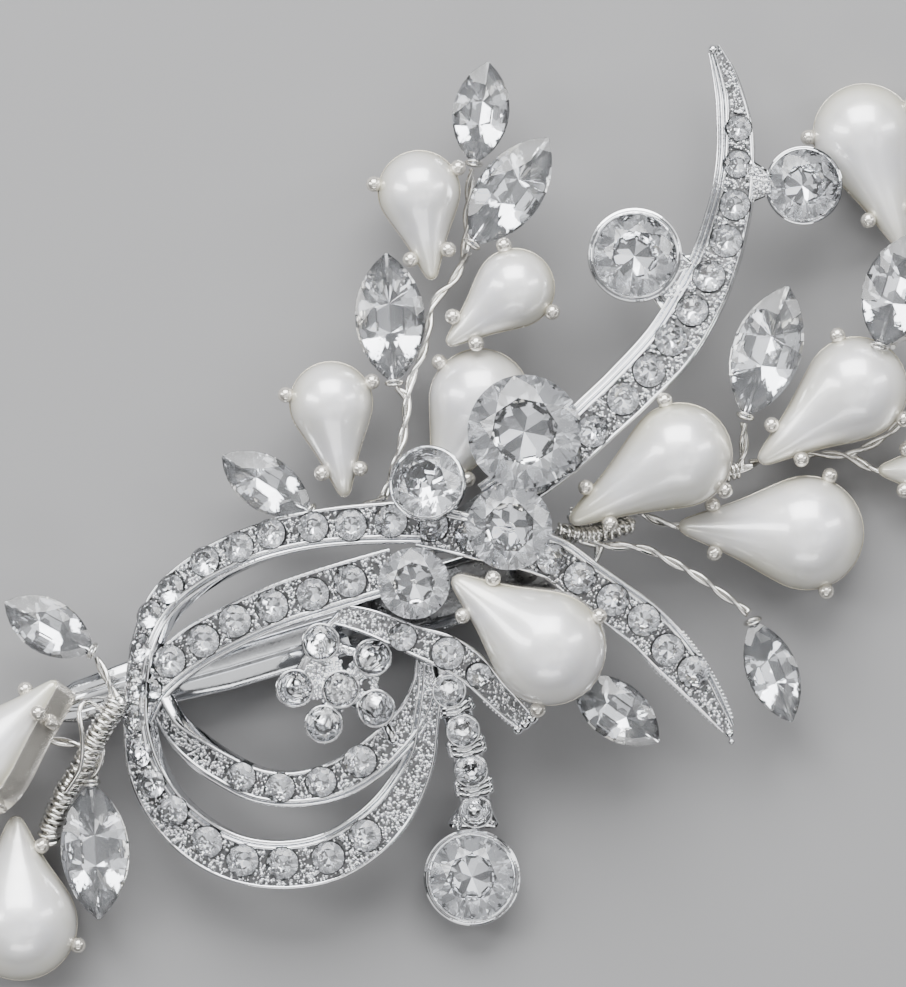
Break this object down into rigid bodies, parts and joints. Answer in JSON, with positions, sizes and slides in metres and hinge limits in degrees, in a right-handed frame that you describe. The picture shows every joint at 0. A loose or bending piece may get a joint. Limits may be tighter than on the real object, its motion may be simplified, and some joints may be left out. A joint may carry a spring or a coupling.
{
  "type": "bridal hair clip",
  "caption": "Sprung hair clip with a cast ribbon bow set with crystals and sprays of pear pearls and pointed crystals on wire.",
  "frame": {"origin": "middle of the bounding box seen from the front, on the surface that the clip lies on", "axes": "+X to the viewer's right along the longest extent, +Y to the top of the bow, +Z out of the front towards the viewer"},
  "size_m": [0.1083, 0.0943, 0.0205],
  "materials": {
    "casting": "polished",
    "crystal": "faceted and foiled",
    "navette_crystal": "faceted",
    "pearl": "pearl lustre",
    "cup": "polished",
    "wire": "twisted silver wire",
    "clip": "polished",
    "pin": "satin"
  },
  "bodies": {
    "clip_and_bow": {"bow_casting": "casting", "round_crystal_1": "crystal", "round_crystal_2": "crystal", "round_crystal_3": "crystal", "round_crystal_4": "crystal", "round_crystal_5": "crystal", "round_crystal_6": "crystal", "round_crystal_7": "crystal", "navette_1": "navette_crystal", "navette_2": "navette_crystal", "navette_3": "navette_crystal", "navette_4": "navette_crystal", "navette_5": "navette_crystal", "navette_6": "navette_crystal", "navette_7": "navette_crystal", "navette_8": "navette_crystal", "navette_9": "navette_crystal", "navette_10": "navette_crystal", "pearl_1": "pearl", "pearl_2": "pearl", "pearl_3": "pearl", "pearl_4": "pearl", "pearl_5": "pearl", "pearl_6": "pearl", "pearl_7": "pearl", "pearl_8": "pearl", "pearl_9": "pearl", "pearl_10": "pearl", "pearl_11": "pearl", "pearl_12": "pearl", "pearl_setting_1": "cup", "pearl_setting_2": "cup", "pearl_setting_3": "cup", "pearl_setting_4": "cup", "pearl_setting_5": "cup", "pearl_setting_6": "cup", "pearl_setting_7": "cup", "pearl_setting_8": "cup", "pearl_setting_9": "cup", "pearl_setting_10": "cup", "pearl_setting_11": "cup", "pearl_setting_12": "cup", "wire_top": "wire", "wire_right": "wire", "wire_far_right": "wire", "wire_low": "wire", "wire_left": "wire", "top_jaw": "clip", "hinge_pin": "pin", "spring": "pin"},
    "lower_jaw": {"lower_jaw": "clip"}
  },
  "joints": [
    {"name": "jaw_hinge", "type": "hinge", "parent": "clip_and_bow", "child": "lower_jaw", "pos_m": [-0.0033, -0.0076, 0.005], "axis": [0.2857, -0.9583, 0], "range_deg": [0, 20], "stiffness_Nm_per_rad": 0.14, "springref_deg": -20.05}
  ]
}
